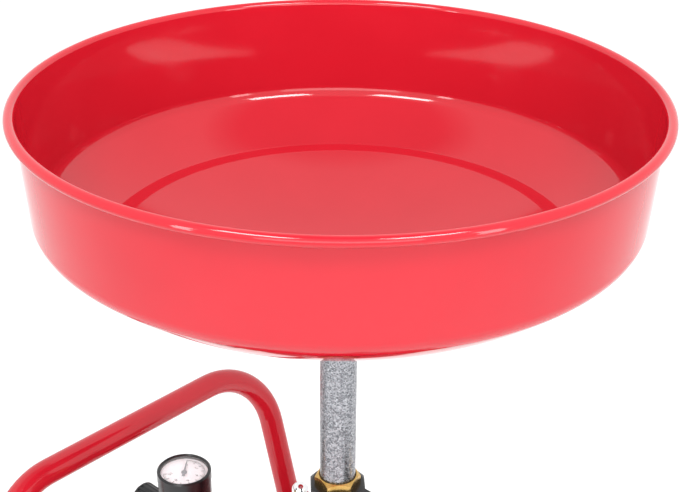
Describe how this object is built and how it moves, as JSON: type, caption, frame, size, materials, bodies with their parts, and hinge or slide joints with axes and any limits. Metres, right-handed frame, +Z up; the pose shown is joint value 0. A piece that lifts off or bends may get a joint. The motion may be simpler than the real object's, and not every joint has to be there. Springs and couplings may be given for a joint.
{
  "type": "oil drain pan",
  "caption": "Wheeled oil drain with a round catch pan on a telescoping pole, a pressure tank, a push handle and an air-driven discharge.",
  "frame": {"origin": "on the floor, on the axis of the pole and tank", "axes": "+X to the right along the push bar, +Y towards the push bar behind the tank, +Z up"},
  "size_m": [0.6099, 0.7397, 1.404],
  "materials": {
    "red_enamel": "glossy red powder coat with slight orange peel",
    "black_enamel": "semi-gloss black enamel",
    "wheel_enamel": "light grey wheel enamel",
    "galvanised_tube": "hot-dip galvanised, fine spangle",
    "zinc_steel": "bright zinc plate",
    "die_cast": "bead-blasted die-cast alloy",
    "brass": "machined brass, bright edges",
    "chrome": "bright chrome",
    "nitrile_rubber": "matt nitrile rubber",
    "tyre_rubber": "moulded tyre rubber",
    "caster_rubber": "moulded dark rubber tread",
    "black_plastic": "fine-textured moulded plastic",
    "red_vinyl": "dipped vinyl",
    "float_red": "moulded red plastic",
    "dial_white": "white printed dial",
    "pointer_grey": "grey painted pointer",
    "clear_plastic": "clear moulded plastic"
  },
  "bodies": {
    "frame": {"mast_tube": "black_enamel", "mast_bung": "red_enamel", "gland_body": "black_enamel", "gland_packing": "nitrile_rubber", "tank_barrel": "red_enamel", "top_head": "red_enamel", "bottom_head": "red_enamel", "tank_bungs": "red_enamel", "skirt_ring": "red_enamel", "base_frame": "black_enamel", "axle_rod": "zinc_steel", "axle_caps": "zinc_steel", "caster_plates": "zinc_steel", "handle_tube": "red_enamel", "handle_ears": "red_enamel", "handle_bolts": "zinc_steel", "air_elbow": "brass", "regulator_body": "die_cast", "regulator_bonnet": "black_plastic", "gauge_stem": "brass", "gauge_case": "black_enamel", "gauge_dial": "dial_white", "gauge_lens": "clear_plastic", "gauge_bezel": "black_enamel", "air_valve": "brass", "quick_plug": "zinc_steel", "relief_body": "chrome", "dip_tube": "zinc_steel", "discharge_valve": "brass", "discharge_elbow": "brass", "hose_barb": "brass", "sight_elbows": "brass", "sight_tube": "clear_plastic"},
    "guide": {"guide_bush": "black_plastic"},
    "pan": {"pan_bowl": "red_enamel", "drain_strainer": "zinc_steel", "flange_gasket": "nitrile_rubber", "pan_flange": "zinc_steel", "flange_screws": "zinc_steel", "flange_nuts": "zinc_steel", "inner_pole": "galvanised_tube"},
    "gland": {"gland_nut": "brass", "lock_collar": "black_enamel", "collar_grip": "black_plastic"},
    "knob": {"regulator_knob": "black_plastic"},
    "pointer": {"gauge_pointer": "pointer_grey"},
    "air_tap": {"air_lever": "red_vinyl"},
    "relief": {"relief_cap": "chrome"},
    "discharge_tap": {"discharge_lever": "red_vinyl"},
    "level_float": {"sight_float": "float_red"},
    "left_wheel": {"left_wheel_rim": "wheel_enamel", "left_tyre": "tyre_rubber"},
    "right_wheel": {"right_wheel_rim": "wheel_enamel", "right_tyre": "tyre_rubber"},
    "left_swivel": {"left_fork": "zinc_steel", "left_caster_pin": "zinc_steel"},
    "right_swivel": {"right_fork": "zinc_steel", "right_caster_pin": "zinc_steel"},
    "left_roller": {"left_caster_wheel": "caster_rubber"},
    "right_roller": {"right_caster_wheel": "caster_rubber"}
  },
  "joints": [
    {"name": "pole_slide", "type": "slide", "parent": "frame", "child": "guide", "axis": [0, 0, 1], "range_m": [-0.188, 0.37]},
    {"name": "pan_turn", "type": "hinge", "parent": "guide", "child": "pan", "pos_m": [0, 0, 1.21302], "axis": [0, 0, 1], "continuous": true},
    {"name": "gland_turn", "type": "hinge", "parent": "frame", "child": "gland", "pos_m": [0, 0, 0.96202], "axis": [0, 0, 1], "range_deg": [-15, 240]},
    {"name": "knob_turn", "type": "hinge", "parent": "frame", "child": "knob", "pos_m": [-0.084, 0.214, 0.869], "axis": [0, 1, 0], "range_deg": [-720, 720]},
    {"name": "pointer_turn", "type": "hinge", "parent": "frame", "child": "pointer", "pos_m": [-0.084, 0.154, 0.938], "axis": [0, 0, -1], "range_deg": [0, 260]},
    {"name": "air_tap_turn", "type": "hinge", "parent": "frame", "child": "air_tap", "pos_m": [-0.129, 0.154, 0.89], "axis": [0, 0, -1], "range_deg": [0, 90]},
    {"name": "relief_pull", "type": "slide", "parent": "frame", "child": "relief", "axis": [0, 0, 1], "range_m": [0, 0.004], "stiffness_N_per_m": 600, "springref_m": -0.01},
    {"name": "discharge_turn", "type": "hinge", "parent": "frame", "child": "discharge_tap", "pos_m": [0.116, -0.09, 0.84595], "axis": [-1, 0, 0], "range_deg": [0, 90]},
    {"name": "float_rise", "type": "slide", "parent": "frame", "child": "level_float", "axis": [0, 0, 1], "range_m": [0, 0.425]},
    {"name": "left_wheel_roll", "type": "hinge", "parent": "frame", "child": "left_wheel", "pos_m": [-0.262, 0.13224, 0.1], "axis": [1, 0, 0], "continuous": true},
    {"name": "right_wheel_roll", "type": "hinge", "parent": "frame", "child": "right_wheel", "pos_m": [0.262, 0.13224, 0.1], "axis": [1, 0, 0], "continuous": true},
    {"name": "left_caster_swivel", "type": "hinge", "parent": "frame", "child": "left_swivel", "pos_m": [-0.19, -0.29487, 0.104], "axis": [0, 0, 1], "continuous": true},
    {"name": "left_caster_roll", "type": "hinge", "parent": "left_swivel", "child": "left_roller", "pos_m": [-0.19, -0.32987, 0.04], "axis": [1, 0, 0], "continuous": true},
    {"name": "right_caster_swivel", "type": "hinge", "parent": "frame", "child": "right_swivel", "pos_m": [0.19, -0.29487, 0.104], "axis": [0, 0, 1], "continuous": true},
    {"name": "right_caster_roll", "type": "hinge", "parent": "right_swivel", "child": "right_roller", "pos_m": [0.19, -0.32987, 0.04], "axis": [1, 0, 0], "continuous": true}
  ]
}
